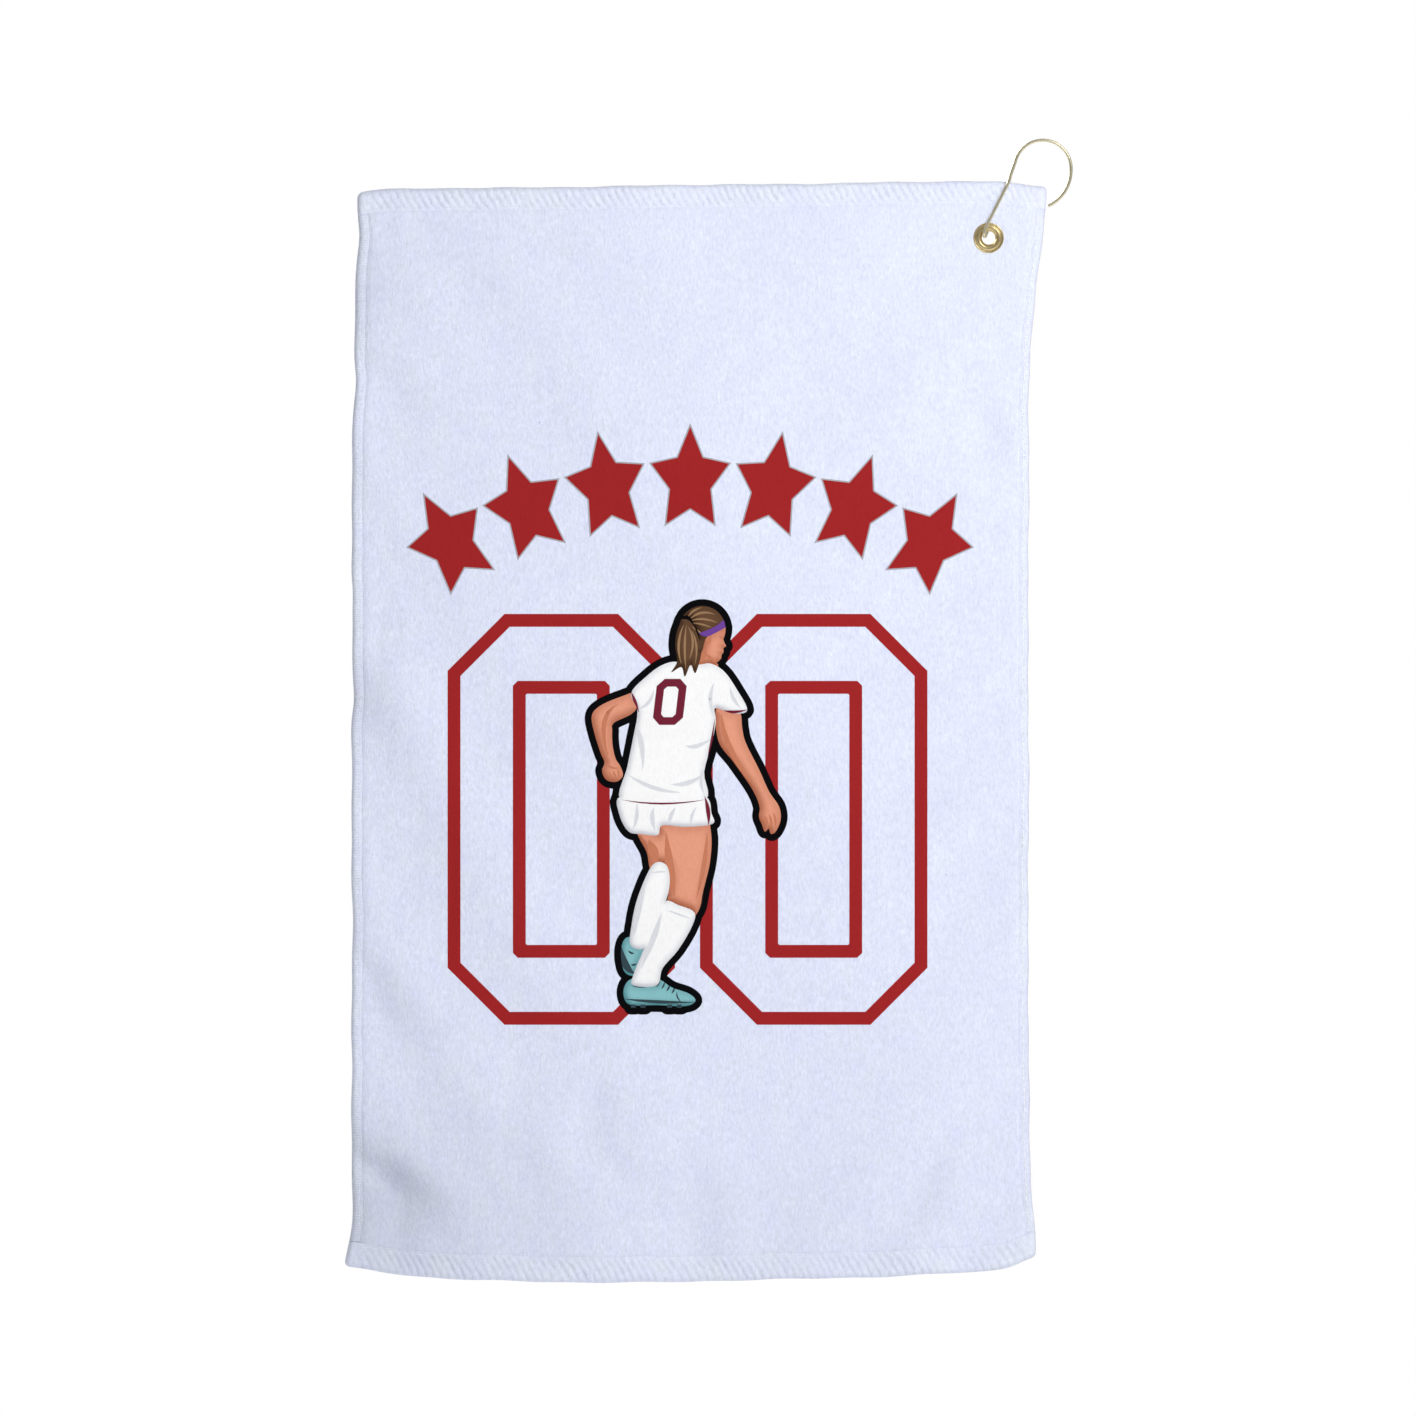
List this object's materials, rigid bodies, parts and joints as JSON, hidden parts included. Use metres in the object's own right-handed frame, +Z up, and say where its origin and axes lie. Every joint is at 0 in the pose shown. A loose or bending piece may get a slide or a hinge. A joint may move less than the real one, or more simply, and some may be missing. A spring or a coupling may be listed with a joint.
{
  "type": "golf towel",
  "caption": "Hemmed velour golf towel with a corner grommet and a bent wire hook that swings in it; printed arch of stars, block numerals and a footballer seen from behind.",
  "frame": {"origin": "the hang point: the centre of the hook's open arc, in the plane of the wire, where a bag ring or a peg passes through", "axes": "+Z up the hanging towel, towards its top edge; the printed face looks along -Y; +X runs towards the towel's right edge as seen from the printed face"},
  "size_m": [0.3002, 0.0085, 0.4722],
  "materials": {
    "velour": "matte",
    "terry": "matte",
    "thread": "satin",
    "grommet_brass": "polished",
    "hook_wire": "polished",
    "crimson_ink": "matte",
    "grey_ink": "matte",
    "black_ink": "matte",
    "white_ink": "matte",
    "skin_ink": "matte",
    "skin_shade_ink": "matte",
    "brown_ink": "matte",
    "fair_hair_ink": "matte",
    "purple_ink": "matte",
    "maroon_ink": "matte",
    "teal_ink": "matte",
    "pale_grey_ink": "matte",
    "slate_ink": "matte"
  },
  "bodies": {
    "towel": {"towel_panel": "velour", "top_hem": "terry", "bottom_hem": "terry", "left_hem": "terry", "right_hem": "terry", "top_needle_thread": "thread", "top_bobbin_thread": "thread", "bottom_needle_thread": "thread", "bottom_bobbin_thread": "thread", "left_needle_thread": "thread", "left_bobbin_thread": "thread", "right_needle_thread": "thread", "right_bobbin_thread": "thread", "grommet_eyelet": "grommet_brass", "grommet_washer": "grommet_brass", "print_star_outlines": "grey_ink", "print_stars": "crimson_ink", "print_numeral_left": "crimson_ink", "print_numeral_right": "crimson_ink", "print_figure_keyline": "black_ink", "print_figure_kit": "white_ink", "print_figure_skin": "skin_ink", "print_figure_hair": "brown_ink", "print_figure_headband": "purple_ink", "print_figure_trim": "maroon_ink", "print_figure_boots": "teal_ink", "print_figure_folds": "pale_grey_ink", "print_figure_skin_shade": "skin_shade_ink", "print_figure_hair_strands": "fair_hair_ink", "print_figure_boot_detail": "slate_ink"},
    "hook": {"wire_hook": "hook_wire"}
  },
  "joints": [
    {"name": "hook_swing", "type": "hinge", "parent": "towel", "child": "hook", "pos_m": [-0.0224, 0.0026, -0.02866], "axis": [0, 1, 0], "range_deg": [-42, 4]}
  ]
}
